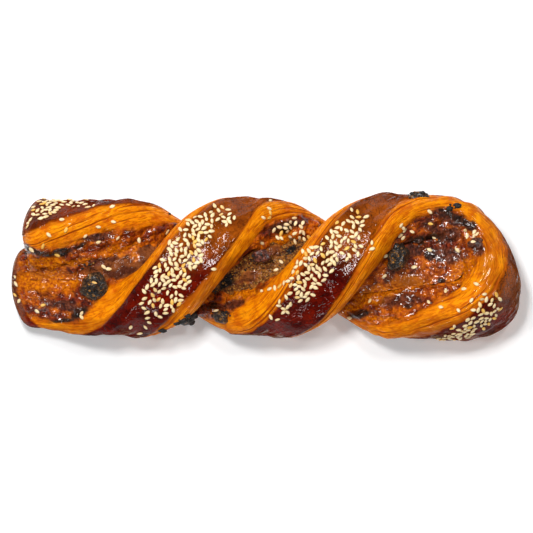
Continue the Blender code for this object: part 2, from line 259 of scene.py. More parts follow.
# In millimetres: the width of a crumb; a seed's length, width and thickness; how far
# apart seeds keep, how low they may lie, how far out their middles are, and how much
# further where one lies over another
CRUMB_SIZE = (0.5, 1.3)
SEED_SIZE = (2.75, 1.62, 0.75)
SEED_APART = 1.7
SEED_LOWEST = 4.0
SEED_OUT = 0.25
SEED_OVER = 0.55
# How far up the surface under a seed must face, and how often a place that won't do is
# drawn again
SEED_FACING = 0.1
SEED_TRIES = 40

# In metres: the camera's distance, the height that rays fall from, half the floor's
# width. The room's glow near the horizon and overhead, and the lamps: name, place and
# size in metres, power in watts
CAMERA_AWAY = 2.5
DROP_HEIGHT = 0.2
FLOOR_HALF = 3.0
ROOM_GLOW = (0.3, 0.12)
LAMPS = [
    ("key", (-0.15, 0.26, 0.93), 0.16, 4.6),
    ("low key", (-0.25, 0.62, 0.7), 0.16, 3.5),
    ("right key", (0.3, 0.3, 0.86), 0.1, 1.2),
    ("left fill", (-0.5, 0.0, 0.8), 0.1, 1.3),
    ("near fill", (0.1, -0.36, 0.9), 0.1, 0.9),
    ("low near fill", (0.0, -0.8, 0.5), 0.12, 0.8),
]


def linear(code):
    """The linear colour, with alpha, of an sRGB hex code."""
    parts = [int(code[i : i + 2], 16) / 255 for i in (0, 2, 4)]
    low = [c / 12.92 if c <= 0.04045 else ((c + 0.055) / 1.055) ** 2.4 for c in parts]
    return (*low, 1.0)


def ramp(start, end, x):
    """A smooth step from 0 at start to 1 at end."""
    t = np.clip((x - start) / (end - start), 0, 1)
    return t * t * (3 - 2 * t)


def knee(x, width):
    """0 for negative x and x for positive x, with a soft bend between them."""
    return width * np.logaddexp(0, x / width)


def rough(points, size, seed=0.0, kind=noise.noise, extra=()):
    """Noise at each point, for features about as large as size, in millimetres."""
    flat = (points / size + seed).reshape(-1, 3).tolist()
    return np.array([kind(p, *extra) for p in flat]).reshape(points.shape[:-1])


def spotted(points, normal, spots, ragged):
    """How far each point lies in one of the spots, on the side the photo shows."""
    middle = PHOTO_PIXELS / 2
    inside = 0
    for px, py, long, wide, way in spots:
        dx = points[..., 0] / PIXEL + middle - px
        dy = points[..., 1] / PIXEL - middle + py
        cos, sin = math.cos(math.radians(way)), math.sin(math.radians(way))
        away = ((dx * cos + dy * sin) / long) ** 2 + ((dy * cos - dx * sin) / wide) ** 2
        inside = np.maximum(inside, np.exp(-0.7 * away))
    return ramp(0.3, 0.7, inside + 0.3 * ragged) * ramp(-0.1, 0.2, normal[..., 2])


# --- The strip of dough -------------------------------------------------------------


def turn(x):
    """Angle of the twist at x, in degrees: 0 where half A lies on top."""
    loose = (TURN - TURN_LOOSE) * knee(LOOSE_X - x, TURN_BLEND)
    fold = (TURN - TURN_FOLD) * knee(x - EASE_X, TURN_BLEND)
    return TURN * (x - TOP_CROSSING_X) + loose - fold


def opening(x):
    """How far the layers spread apart at the sides: most at the fold, then the ends."""
    spread = 0.55 + 0.45 * ramp(36, 57.6, x) + 0.25 * ramp(-50.3, -71.8, x)
    return np.sin(np.radians(turn(x))) ** 2 * spread


def half_gap(x):
    """Half of the space between the two inner faces, which close at the loose ends."""
    return 0.4 + 4.4 * ramp(-78.3, -52.4, x)


def smooth_profile(points, step):
    """A Catmull-Rom curve through the points, mirrored at both ends."""
    p = np.array(points, float)
    p = np.vstack([p[1] * (-1, 1), p, p[-2] * (-1, 1)])
    index = np.arange(0, len(points) - 1 + step / 2, step)
    i = np.minimum(index.astype(int), len(points) - 2)
    t = (index - i)[:, None]
    a, b, c, d = p[i], p[i + 1], p[i + 2], p[i + 3]
    curve = 2 * b + (c - a) * t + (2 * a - 5 * b + 4 * c - d) * t**2
    return index, 0.5 * (curve + (3 * b - a - 3 * c + d) * t**3)


INDEX, TIGHT_CURVE = smooth_profile(TIGHT, 0.05)
_, OPEN_CURVE = smooth_profile(OPEN, 0.05)


def half_section(index, x):
    """(across, out) of the half section at each x (rows) and profile index (columns)."""
    spread = opening(x)[:, None]
    across, out = [
        np.interp(index, INDEX, TIGHT_CURVE[:, k]) * (1 - spread)
        + np.interp(index, INDEX, OPEN_CURVE[:, k]) * spread
        for k in (0, 1)
    ]
    gap = half_gap(x)[:, None]
    return across, out - (TIGHT[0][1] - gap) * (1 - ramp(TIGHT[0][1], 17, out))


def settle(points):
    """Lets the round twist sink, and flattens what would go through the tray."""
    z = AXIS_Z + SUNK * points[..., 2]
    z = z + (1 - TRAY_SOFT) * knee(0.6 - z, 0.5)
    z = np.maximum(z, FLAT) - FLAT
    x, y = points[..., 0], points[..., 1]
    return np.stack([x, y - 0.2 - FOLD_SAG * ramp(88, 112, x), z], axis=-1)


def uneven(points, amount):
    """Slow lumps that no two stretches of the pastry share."""
    x, y, z = points[..., 0], points[..., 1], points[..., 2]
    lump = np.sin(0.23 * x + 0.31 * y + 1.3) * np.sin(0.19 * z - 0.27 * y + 0.4 * x)
    return amount * (lump + 0.5 * np.sin(0.61 * x - 0.43 * y + 0.5 * z))


LENGTH_B = FOLD_X - FOLD_SKEW - END_B
LENGTH_FOLD = math.pi * CORE
LENGTH_A = FOLD_X + FOLD_SKEW - END_A
LENGTH = LENGTH_B + LENGTH_FOLD + LENGTH_A


def strip_x(s):
    """(x, bend of the fold, whether it is half A) along the strip."""
    beta = np.clip((s - LENGTH_B) / CORE, 0, math.pi)
    back = FOLD_X + FOLD_SKEW - (s - LENGTH_B - LENGTH_FOLD)
    x = np.where(s < LENGTH_B + LENGTH_FOLD, FOLD_X - FOLD_SKEW * np.cos(beta), back)
    x = np.where(s < LENGTH_B, END_B + s, x) + FOLD_REACH * np.sin(beta)
    return x, beta, s > LENGTH_B + LENGTH_FOLD / 2


def strip_points(s, index, inset=0.0):
    """Points of the strip's surface, in rows by s and columns by profile index.

    s runs from the loose end of B, round the fold, to A's. A negative index is on the
    other edge of the strip. The inset moves the inner face towards the filling.
    """
    x, beta, is_a = strip_x(s)
    loose_a = np.where(is_a, ramp(-48.1, -91.2, x), 0)
    loose_b = np.where(is_a, 0, ramp(-54.6, -89.1, x))
    angle = np.radians(turn(x) - 36 * loose_a)

    # How far the skin of this half looks up: it lies wide on top and thin below
    up = np.cos(angle) * np.where(is_a, 1, -1) * np.abs(np.cos(beta))
    on_top = np.clip(up, 0, 1)
    below = np.clip(-up, 0, 1) * (1 - loose_a)
    to_end = np.clip(np.where(is_a, LENGTH - s, s) / END_ROUND, 0, 1)
    swell = 1 + 0.04 * ramp(31.7, 57.6, x)
    size = np.sqrt(1 - (1 - to_end) ** 2) * swell

    side = np.where(index < 0, -1.0, 1.0)
    across, out = half_section(np.abs(index), x)
    across = across * side
    gap = half_gap(x)[:, None]
    out = gap + (out - gap) * (1 - THINNER_BELOW * below)[:, None] - inset
    wide = 1 + WIDER_ON_TOP * on_top**4 - NARROWER_BELOW * below
    wide = size * (wide - NARROWER_END_A * loose_a - NARROWER_END_B * loose_b)
    thick = size * (1 - THINNER_END_A * loose_a)

    nothing = np.zeros_like(x)
    axis_out = np.stack([nothing, np.sin(angle), np.cos(angle)], 1)
    lean = -FOLD_LEAN * np.sin(beta)
    axis_across = np.stack([lean, np.cos(angle), -np.sin(angle)], 1)
    step_x = FOLD_REACH * np.cos(beta) + FOLD_SKEW * np.sin(beta)
    step_out = CORE * np.sin(beta)
    step = np.hypot(step_x, step_out)
    outward = axis_out * (-step_x / step)[:, None]
    outward[:, 0] = step_out / step
    centre = axis_out * (-CORE * swell * np.cos(beta))[:, None]
    centre[:, 0] = x
    centre[:, 1] -= 1.5 * loose_b
    centre[:, 2] += 2 * loose_a - 4 * loose_b

    points = centre[:, None] + (wide[:, None] * across)[..., None] * axis_across[:, None]
    points += (thick[:, None] * (out - CORE))[..., None] * outward[:, None]

    # The loose ends lean on each other along the plane between the two halves
    plane = np.radians(turn(points[..., 0]))
    apart = points[..., 1] * np.sin(plane) + points[..., 2] * np.cos(plane)
    room = half_gap(points[..., 0]) - inset
    kept = np.where(is_a[:, None], np.maximum(apart, room), np.minimum(apart, -room))
    push = np.where(x[:, None] < -28.7, kept - apart, 0)
    points[..., 1] += push * np.sin(plane)
    points[..., 2] += push * np.cos(plane)
    relief = uneven(points, 0.35) * ramp(4, 7, np.abs(index))
    points += (relief * size[:, None])[..., None] * outward[:, None]
    return settle(points)


def normals_of(points):
    """Unit normals of a grid of points that closes on itself across its columns."""
    along = np.gradient(points, axis=0)
    wrapped = np.concatenate([points[:, -1:], points, points[:, :1]], axis=1)
    around = wrapped[:, 2:] - wrapped[:, :-2]
    normal = np.cross(around, along)
    length = np.linalg.norm(normal, axis=-1, keepdims=True)
    return normal / np.maximum(length, 1e-9)


def grid_object(name, points, fields):
    """A closed tube from a grid of points, with each field kept as a named attribute."""
    rows, around = points.shape[:2]
    first, last = points[0].mean(0), points[-1].mean(0)
    co = np.vstack([points.reshape(-1, 3), first, last]) * MM
    i, j = np.meshgrid(np.arange(rows - 1), np.arange(around), indexing="ij")
    k = (j + 1) % around
    quads = np.stack([i, i, i + 1, i + 1], -1) * around + np.stack([j, k, k, j], -1)
    j = np.arange(around)
    k = (j + 1) % around
    base = (rows - 1) * around
    start = np.stack([k, j, np.full(around, rows * around)], 1)
    end = np.stack([base + j, base + k, np.full(around, rows * around + 1)], 1)
    faces = quads.reshape(-1, 4).tolist() + start.tolist() + end.tolist()
    mesh = bpy.data.meshes.new(name)
    mesh.from_pydata(co.tolist(), [], faces)
    mesh.shade_smooth()
    for field, values in fields.items():
        grid = values.reshape(rows * around, -1)
        both = np.vstack([grid, grid[:1], grid[-1:]])
        kind, key = ("FLOAT_VECTOR", "vector") if both.shape[1] == 3 else ("FLOAT", "value")
        attribute = mesh.attributes.new(field, kind, "POINT")
        attribute.data.foreach_set(key, both.ravel())
    obj = bpy.data.objects.new(name, mesh)
    bpy.context.scene.collection.objects.link(obj)
    return obj


def dough_grid():
    """(stations along the strip, profile indices round it) of the fine mesh."""
    cap = END_ROUND * (1 - np.cos(np.linspace(0.06, 1.5, CAP_STATIONS)))
    body = np.linspace(END_ROUND, LENGTH - END_ROUND, STATIONS - 2 * CAP_STATIONS)
    s = np.concatenate([cap, body, LENGTH - cap[::-1]])
    inner = np.arange(0, EDGE_START, INNER_STEP)
    edge = np.arange(EDGE_START, 9, EDGE_STEP)
    half = np.concatenate([inner, edge])
    index = np.concatenate([-half, [9.0], half[:0:-1]])
    return s, index


def on_each_edge(table, s, index):
    """The table's value at every grid point, for the edge of the strip it is on."""
    near = s[:, None] + np.linspace(-6, 6, 9)
    plus, minus = [np.interp(near, *zip(*table[side])).mean(1)[:, None] for side in (1, -1)]
    return np.where(index[None, :] >= 0, plus, minus)


def dough_piece():
    """The folded strip: its form, its relief, and where each finish lies on it."""
    s, index = dough_grid()
    points = strip_points(s, index)
    normal = normals_of(points)
    far = np.abs(index)[None, :] + 0 * s[:, None]
    along = s[:, None] + 0 * far
    strip = np.stack([along, index[None, :] * INDEX_LENGTH + 0 * far, 0 * far], axis=-1)

    # Where one finish gives way to the next, each a little ragged
    ragged = rough(strip * (1, 0.35, 1), 6.0, 3.1) + 0.4 * rough(strip, 2.0, 8.3)
    skin_edge = on_each_edge(SKIN_EDGE, s, index)
    lip = on_each_edge(LIP, s, index)
    skin = ramp(-0.14, 0.14, far - skin_edge + 0.2 * ragged)
    curl = LENGTH - along - END_CURL - END_CURL_GROWTH * np.maximum(far - 2, 0)
    skin = np.maximum(skin, ramp(0.6, -0.6, curl + 0.8 * ragged))
    syrup = (1 - ramp(-0.35, 0.35, far - lip + 0.55 * ragged)) * (1 - skin)
    layers = (1 - skin) * (1 - syrup)
    edge = np.clip((far - lip) / (skin_edge - lip), 0, 1)

    # Relief: grooves between the layers, puffed skin, boiled and dried syrup
    grooves = rough(strip * (0.05, 1, 1), 0.9, 0.3)
    broad = rough(strip * (0.04, 1, 1), 3.2, 5.2)
    cuts = ramp(0.34, 0.6, rough(strip * (0.05, 1, 1), 1.3, 9.4))
    boiled = rough(points, 4.0, 1.7, noise.turbulence, (3, False))
    puffed = rough(points, 6.5, 4.4) + 0.35 * rough(points, 2.6, 6.1)
    relief = layers * (GROOVES * grooves + BANDS * broad - CUTS * cuts)
    relief += skin * (SWOLLEN + PUFFS * puffed)
    relief += syrup * (BOILED_UP * boiled - BOILED_IN)

    # Spots, painted shade on the cut layers, painted light that pales the skin on its lit side,
    # its egg wash, and a painted reflection of the pale floor in streaks low on its sides
    fields = {"skin": skin, "edge": edge, "strip": strip, "cuts": cuts}
    fields["burnt"] = spotted(points, normal, BURNT_SPOTS, ragged) * (1 - skin)
    fields["amber"] = spotted(points, normal, AMBER_SPOTS, ragged)
    fields["plum"] = spotted(points, normal, PLUM_SPOTS, ragged) * (1 - skin)
    fields["syrup"] = np.maximum(syrup, np.maximum(fields["burnt"], fields["plum"]))
    fields["dull"] = 0.8 * spotted(points, normal, DULL_SPOTS, ragged)
    fields["toasted_and_painted_shade"] = spotted(points, normal, PAINTED_SHADE_SPOTS, ragged)
    x, y, up = points[..., 0], points[..., 1], normal[..., 2]
    # Painted light: the skin paler towards the top side, where the lamps stand, on faces turned
    # up and at A's loose end, and on the right flank, where it stands in for a soft highlight
    fold = ramp(94, 100, x) * ramp(-24, -10, y)
    painted_light = ramp(-6, 12, y + 5 * ragged) * (1 - 0.6 * ramp(-50, -66, x))
    painted_light = np.maximum(painted_light, 0.6 * ramp(8, 4, LENGTH - along)) * ramp(-0.3, 0.5, up)
    fields["painted_light"] = np.maximum(painted_light, fold)
    fields["washed"] = skin * (0.02 + 0.6 * ramp(0.35, 0.7, up))
    # Painted reflection: pale streaky patches on the skin where it faces nearly sideways, on the
    # near side and at the loose ends, standing in for the pale floor reflected there
    low = ramp(0.02, 0.1, up) * ramp(0.5, 0.2, up)
    low *= np.maximum(ramp(0, -10, y), ramp(-96, -99, x))
    fields["painted_reflection"] = 0.5 * low * ramp(-0.3, 0.5, rough(points * (0.5, 1, 1), 1.6, 2.7))
    points = points + normal * relief[..., None]
    points[..., 2] = np.maximum(points[..., 2], 0)
    return grid_object("laminated_dough", points, fields)


# --- The filling between the two halves ---------------------------------------------


def pooled(start, end):
    """The open side of the filling: a hollow pool that runs out along both faces."""
    p, q = start[:, -1], end[:, 0]
    leave, arrive = start[:, -2] - p, q - end[:, 1]
    pull = np.minimum(POOL_PULL, np.linalg.norm(q - p, axis=1))[:, None]
    leave *= pull / np.linalg.norm(leave, axis=1)[:, None]
    arrive *= pull / np.linalg.norm(arrive, axis=1)[:, None]
    t = POOL_STEPS[None, 1:-1, None]
    p, q, leave, arrive = [v[:, None] for v in (p, q, leave, arrive)]
    curve = p * (2 * t**3 - 3 * t**2 + 1) + q * (3 * t**2 - 2 * t**3)
    return curve + leave * (t**3 - 2 * t**2 + t) + arrive * (t**3 - t**2)


def heaped(points, normal, x, y, reach_x, reach_y, height):
    """How much of a lump or pit of the filling there is at each point, and its height."""
    away_x = (points[..., 0] - x) / reach_x
    away_y = (points[..., 1] - y) / reach_y
    near = np.exp(-(away_x**2) - away_y**2) * ramp(0, 0.3, normal[..., 2])
    return near, height * near


def filling_piece():
    """The fruit filling where it shows: crumbly in the middle, syrupy at the ends."""
    # Stations along both halves of the strip, then on round the inside of the fold
    x = np.linspace(FILLING_START, FOLD_X, FILLING_STATIONS)
    x_b = x - FOLD_SKEW * ramp(45, FOLD_X, x)
    x_a = x + FOLD_SKEW * ramp(45, FOLD_X, x)
    bend = np.radians(np.linspace(2, 72, 45))
    s_b = np.concatenate([x_b - END_B, LENGTH_B + bend * CORE])
    s_a = LENGTH_B + LENGTH_FOLD + FOLD_X + FOLD_SKEW - x_a
    s_a = np.concatenate([s_a, LENGTH_B + LENGTH_FOLD - bend * CORE])
    x = np.concatenate([x, FOLD_X + FOLD_REACH * np.sin(bend)])

    # How far out it reaches on each half, as a profile index, and the pools between
    reach = 1.3 + 0.4 * ramp(-30, -12, x)
    reach_b = reach + 0.4 * ramp(20, 40, x) + 0.4 * ramp(-66, -79, x)
    reach_a = reach - 0.3 * ramp(20, 40, x) - 0.6 * ramp(-66, -79, x)
    face = np.linspace(-1, 1, 9)
    faces_b = [strip_points(s_b[[k]], face * r, -TUCKED_IN)[0] for k, r in enumerate(reach_b)]
    faces_a = [strip_points(s_a[[k]], -face * r, -TUCKED_IN)[0] for k, r in enumerate(reach_a)]
    half_b, half_a = np.array(faces_b), np.array(faces_a)
    edge_1, edge_2 = pooled(half_b, half_a), pooled(half_a, half_b)
    points = np.concatenate([half_b, edge_1, half_a, edge_2], axis=1)
    arch = np.sqrt(np.sin(math.pi * POOL_STEPS[1:-1])) + 0 * edge_1[..., 0]
    hidden = np.zeros(half_b.shape[:2])
    shown = np.concatenate([hidden, arch, hidden, arch], axis=1)

    # Crumb in the middle of the pastry, syrup over lumps of fruit at both ends, and jam
    # the colour of wine near the loose ends
    normal = normals_of(points)
    ragged = rough(points, 4.0, 3.1) + 0.4 * rough(points, 1.6, 8.3)
    crumb = ramp(-40, -32, points[..., 0]) * ramp(26, 20, points[..., 0])
    smooth = spotted(points, normal, SMOOTH_SPOTS, ragged)
    amber = spotted(points, normal, AMBER_SPOTS, ragged)
    jam = ramp(-42, -50, points[..., 0]) * ramp(-82, -76, points[..., 0]) * (1 - amber)
    wine = np.maximum(jam, smooth)
    crumb *= 1 - smooth
    crumbs = rough(points, 1.7, 2.2, noise.turbulence, (3, True)) - 0.6
    lumps = rough(points, 5.0, 7.1) + 0.5 * rough(points, 2.2, 3.3)
    calm = 1 - 0.7 * wine
    yolk, yolk_high = heaped(points, normal, *AMBER_LUMP)
    _, pit_high = heaped(points, normal, *PIT)
    relief = shown * CRUMBS * (crumb * crumbs + (1 - crumb) * calm * lumps)
    relief += shown * (yolk_high + pit_high)
    fields = {"crumb": crumb, "yolk": yolk, "wine": wine}
    fields["burnt"] = spotted(points, normal, BURNT_SPOTS, ragged)
    fields["amber"] = amber
    fields["plum"] = spotted(points, normal, PLUM_SPOTS, ragged)
    points = points + normal * relief[..., None]
    return grid_object("fruit_filling", points, fields)


# --- Raisins, burnt crumbs and sesame -----------------------------------------------


def join(name, parts, tones, painted_shade_rims=None):
    """One object from (corners, faces) parts, with a tone of its own for each part.

    The rims, one value for each corner of a part that says how far out it lies, for painted
    shade at a seed's edge, are the same on every part.
    """
    corners, faces, tone = [], [], []
    for number, (co, polygons) in enumerate(parts):
        start = len(corners)
        corners.extend(co)
        faces.extend([[start + v for v in face] for face in polygons])
        tone.extend([tones[number]] * len(co))
    mesh = bpy.data.meshes.new(name)
    mesh.from_pydata(corners, [], faces)
    mesh.shade_smooth()
    attribute = mesh.attributes.new("tone", "FLOAT", "POINT")
    attribute.data.foreach_set("value", tone)
    if painted_shade_rims:
        attribute = mesh.attributes.new("painted_shade_rim", "FLOAT", "POINT")
        attribute.data.foreach_set("value", painted_shade_rims * len(parts))
    obj = bpy.data.objects.new(name, mesh)
    bpy.context.scene.collection.objects.link(obj)
    return obj


def ball(make, **settings):
    """Corners and faces of one of bmesh's round primitives, one unit across."""
    build = bmesh.new()
    make(build, radius=0.5, **settings)
    corners = [v.co.copy() for v in build.verts]
    faces = [[v.index for v in face.verts] for face in build.faces]
    build.free()
    return corners, faces


def lump(middle, size, seed, fineness, depth):
    """A crusty lump: a ball whose surface is folded and pitted like dried fruit."""
    corners, faces = ball(bmesh.ops.create_icosphere, subdivisions=fineness)
    shaped = []
    for co in corners:
        fold = noise.ridged_multi_fractal(co * 2.6 + Vector((seed, 0, 0)), 0.9, 2.1, 4, 1.0, 2.0)
        swell = noise.noise(co * 3.0 + Vector((0, seed, 0)))
        shaped.append(co * (1.03 + 0.3 * swell - depth * (1.1 - min(fold, 2.2) / 2)))
    return [middle + Vector(a * b for a, b in zip(co, size)) for co in shaped], faces


def raisin_piece(number, tone):
    """One raisin in the place of its solid. The small ones need fewer triangles."""
    node = f"raisin_{number}"
    low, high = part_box(node)
    size = (high - low) * RAISIN_SWELL
    fineness = 5 if size.x > RAISIN_LARGE else 4
    part = lump((low + high) / 2, size, 3.7 * number, fineness, RAISIN_WRINKLED)
    obj = join(f"dried_{node}", [part], [tone])
    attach(obj, "root")
    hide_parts(node)
    return obj


def surface_tree(objects):
    """A tree over the surfaces of all these objects."""
    corners, faces = [], []
    for obj in objects:
        start = len(corners)
        corners.extend(v.co for v in obj.data.vertices)
        faces.extend([start + i for i in p.vertices] for p in obj.data.polygons)
    return BVHTree.FromPolygons(corners, faces)


def at_pixel(px, py, height):
    """The point at this height in metres over a pixel of the photograph."""
    middle = PHOTO_PIXELS / 2
    return Vector(((px - middle) * PIXEL * MM, (middle - py) * PIXEL * MM, height))


def below_pixel(tree, px, py):
    """(point, normal) of the surface under a pixel of the photograph, or next to it."""
    start = at_pixel(px, py, DROP_HEIGHT)
    point, normal, _, _ = tree.ray_cast(start, Vector((0, 0, -1)))
    if point is None:
        start.z = AXIS_Z * MM
        point, normal, _, _ = tree.find_nearest(start)
    return point, normal


def drift_pixel(drift):
    """A random pixel of a drift, most often near its centre."""
    cx, cy, along, across, way, _ = drift
    u = RANDOM.gauss(0, 1)
    v = RANDOM.gauss(0, 1)
    while u * u + v * v > DRIFT_EDGE:
        u = RANDOM.gauss(0, 1)
        v = RANDOM.gauss(0, 1)
    way = math.radians(way)
    px = cx + u * along * math.cos(way) - v * across * math.sin(way)
    py = cy - u * along * math.sin(way) - v * across * math.cos(way)
    return px, py


def sesame_places(tree):
    """(point, normal, lift) of every seed: the strays, then each drift's share."""
    wanted = [(pixel, 0) for pixel in SEED_STRAYS]
    for drift in SEED_DRIFTS:
        wanted += [(drift, SEED_TRIES)] * drift[-1]
    places = []
    for source, tries in wanted:
        for _ in range(tries + 1):
            px, py = drift_pixel(source) if tries else source
            point, normal = below_pixel(tree, px, py)
            if point.z < SEED_LOWEST * MM or normal.z < SEED_FACING:
                continue
            near = [(point - other).length for other, _, _ in places]
            closest = min(near, default=1.0)
            if closest > SEED_APART * MM:
                lift = SEED_OVER if closest < SEED_SIZE[1] * MM else 0.0
                places.append((point, normal, lift))
                break
    return places


def sesame_piece(tree):
    """Hulled sesame: flat drops, pointed at one end, stuck to the egg wash."""
    corners, faces = ball(bmesh.ops.create_uvsphere, u_segments=10, v_segments=7)
    drop = []
    for co in corners:
        narrow = 1 - 0.42 * max(0.0, 2 * co.z) ** 1.4
        drop.append(Vector((co.z, co.x * narrow, co.y * (0.6 + 0.4 * narrow))))
    parts, tones = [], []
    for point, normal, lift in sesame_places(tree):
        grow = RANDOM.uniform(0.86, 1.1)
        tilt = RANDOM.gauss(0, 9 + 22 * (lift > 0))
        size = Matrix.Diagonal([s * grow * MM for s in SEED_SIZE] + [1])
        lie = normal.to_track_quat("Z", "X").to_matrix().to_4x4()
        spin = Matrix.Rotation(RANDOM.uniform(0, 2 * math.pi), 4, "Z")
        lean = Matrix.Rotation(math.radians(tilt), 4, RANDOM.choice("XY"))
        place = Matrix.Translation(point + normal * (SEED_OUT + lift) * MM)
        whole = place @ lie @ spin @ lean @ size
        parts.append(([whole @ co for co in drop], faces))
        tones.append(RANDOM.random())
    # How far out each corner lies, for the painted shade at a seed's edge
    painted_shade_rims = [math.hypot(co.z, co.x) * 2 for co in corners]
    return join("sesame_seeds", parts, tones, painted_shade_rims)


def burnt_crumbs_piece(tree):
    """Dark granules of filling that baked on outside the pastry."""
    parts, tones = [], []
    for number, (px, py, long, wide) in enumerate(BURNT_BITS):
        point, _ = below_pixel(tree, px, py)
        size = Vector((long, wide, 0.8 * wide)) * MM
        parts.append(lump(point, size, 5.3 * number, fineness=4, depth=0.16))
        tones.append(0.1)
    for number, (px, py, height, wide) in enumerate(NOTCH_LUMPS):
        middle = at_pixel(px, py, height * MM)
        size = Vector((wide, 0.9 * wide, wide)) * MM
        parts.append(lump(middle, size, 2.9 * number, fineness=4, depth=0.2))
        tones.append(0.3)
    for drift in CRUMB_DRIFTS:
        for _ in range(drift[-1]):
            point, _ = below_pixel(tree, *drift_pixel(drift))
            wide = RANDOM.uniform(*CRUMB_SIZE) * MM
            size = Vector((wide, wide * RANDOM.uniform(0.6, 1.0), wide * 0.8))
            parts.append(lump(point, size, RANDOM.uniform(0, 99), fineness=2, depth=0.14))
            tones.append(RANDOM.random() ** 2)
    return join("burnt_crumbs", parts, tones)


# --- Materials ----------------------------------------------------------------------
# Noise that is looked up in millimetres has a scale of 1 / (the size of its features).

# How much of the relief still shows in the dried coat over it
COAT_SHOWS = 0.1


def add(tree, kind, *values, out=None, **settings):
    """Adds a node and returns an output of it. The values go to its inputs in order:
    a number, an sRGB hex colour or another node's output. A setting is a property of
    the node or, where it has none of that name, the value of the input so named."""
    node = tree.nodes.new("ShaderNode" + kind)
    for name in [n for n in settings if hasattr(node, n)]:
        setattr(node, name, settings.pop(name))
    sockets = [s for s in node.inputs if s.enabled]
    named = [(s, settings[s.name]) for s in sockets if s.name in settings]
    for socket, value in [*zip(sockets, values), *named]:
        if isinstance(value, bpy.types.NodeSocket):
            tree.links.new(value, socket)
        else:
            socket.default_value = linear(value) if isinstance(value, str) else value
    return next(s for s in node.outputs if s.enabled and out in (None, s.name))


def new_material(name, **plain):
    """(material, node tree, its Principled shader) with these plain values."""
    material = bpy.data.materials.new(name)
    material.use_nodes = True
    tree = material.node_tree
    shader = tree.nodes["Principled BSDF"]
    for key, value in plain.items():
        shader.inputs[key.replace("_", " ")].default_value = value
    return material, tree, shader


def start_tree(tree, names):
    """The object's own coordinates in millimetres, and its fields of these names."""
    metres = add(tree, "TexCoord", out="Object")
    at = add(tree, "VectorMath", metres, Scale=1 / MM, operation="SCALE")
    return at, *[add(tree, "Attribute", attribute_name=name, out="Fac") for name in names]


def finish_tree(tree, shader, colour, gloss, rough_to_glossy, high):
    """Links the colour, the dried coat (0 to 1) with the roughness under it, and the
    relief in millimetres. The coat ran level over it and shows a tenth of it, which
    breaks the lamps up into squiggles."""
    tree.links.new(colour, shader.inputs["Base Color"])
    tree.links.new(gloss, shader.inputs["Coat Weight"])
    dry = add(tree, "MapRange", gloss, 0.0, 1.0, *rough_to_glossy)
    tree.links.new(dry, shader.inputs["Roughness"])
    bump = add(tree, "Bump", Height=high, Distance=MM, Strength=1.0)
    tree.links.new(bump, shader.inputs["Normal"])
    level = add(tree, "Bump", Height=high, Distance=COAT_SHOWS * MM, Strength=1.0)
    tree.links.new(level, shader.inputs["Coat Normal"])


def syrup_finish(tree, at):
    """(colour, height in mm, gloss) of fruit syrup that boiled over and dried to
    caramel: glassy, with blisters of 2.2 mm, but calmer and duller where it is amber.
    It pools in patches of 6 mm, is mottled by froth of 1.8 mm, and has a grain of 1 mm
    like orange peel where it is amber."""
    names = ("amber", "plum", "burnt")
    amber, plum, burnt = [add(tree, "Attribute", attribute_name=n, out="Fac") for n in names]
    pools = add(tree, "TexNoise", at, Scale=1 / 6.0, Detail=3.0)
    pools = add(tree, "MapRange", pools, 0.42, 0.6)
    froth = add(tree, "TexNoise", at, Scale=1 / 1.8, Detail=4.0, Distortion=0.6)
    froth = add(tree, "MapRange", froth, 0.36, 0.64)
    deep = add(tree, "Mix", froth, "3C0A02", "882C04", data_type="RGBA")
    clear = add(tree, "Mix", froth, "9C3804", "D87008", data_type="RGBA")
    colour = add(tree, "Mix", pools, deep, clear, data_type="RGBA")
    grain = add(tree, "TexNoise", at, Scale=1 / 1.0, Detail=3.0)
    grain = add(tree, "MapRange", grain, 0.36, 0.64)
    peel = add(tree, "Mix", grain, "943C00", "D67800", data_type="RGBA")
    colour = add(tree, "Mix", amber, colour, peel, data_type="RGBA")
    jam = add(tree, "Mix", froth, "38120A", "763A22", data_type="RGBA")
    colour = add(tree, "Mix", plum, colour, jam, data_type="RGBA")
    char = add(tree, "Mix", froth, "140904", "45200E", data_type="RGBA")
    colour = add(tree, "Mix", burnt, colour, char, data_type="RGBA")
    blisters = add(tree, "TexNoise", at, Scale=1 / 2.2, Detail=1.5, Distortion=0.9)
    gloss = add(tree, "MapRange", amber, 0.0, 1.0, 1.0, 0.4)
    highest = add(tree, "MapRange", amber, 0.0, 1.0, 1.0, 0.3)
    high = add(tree, "MapRange", blisters, 0.3, 0.7, 0.0, highest)
    return colour, high, gloss


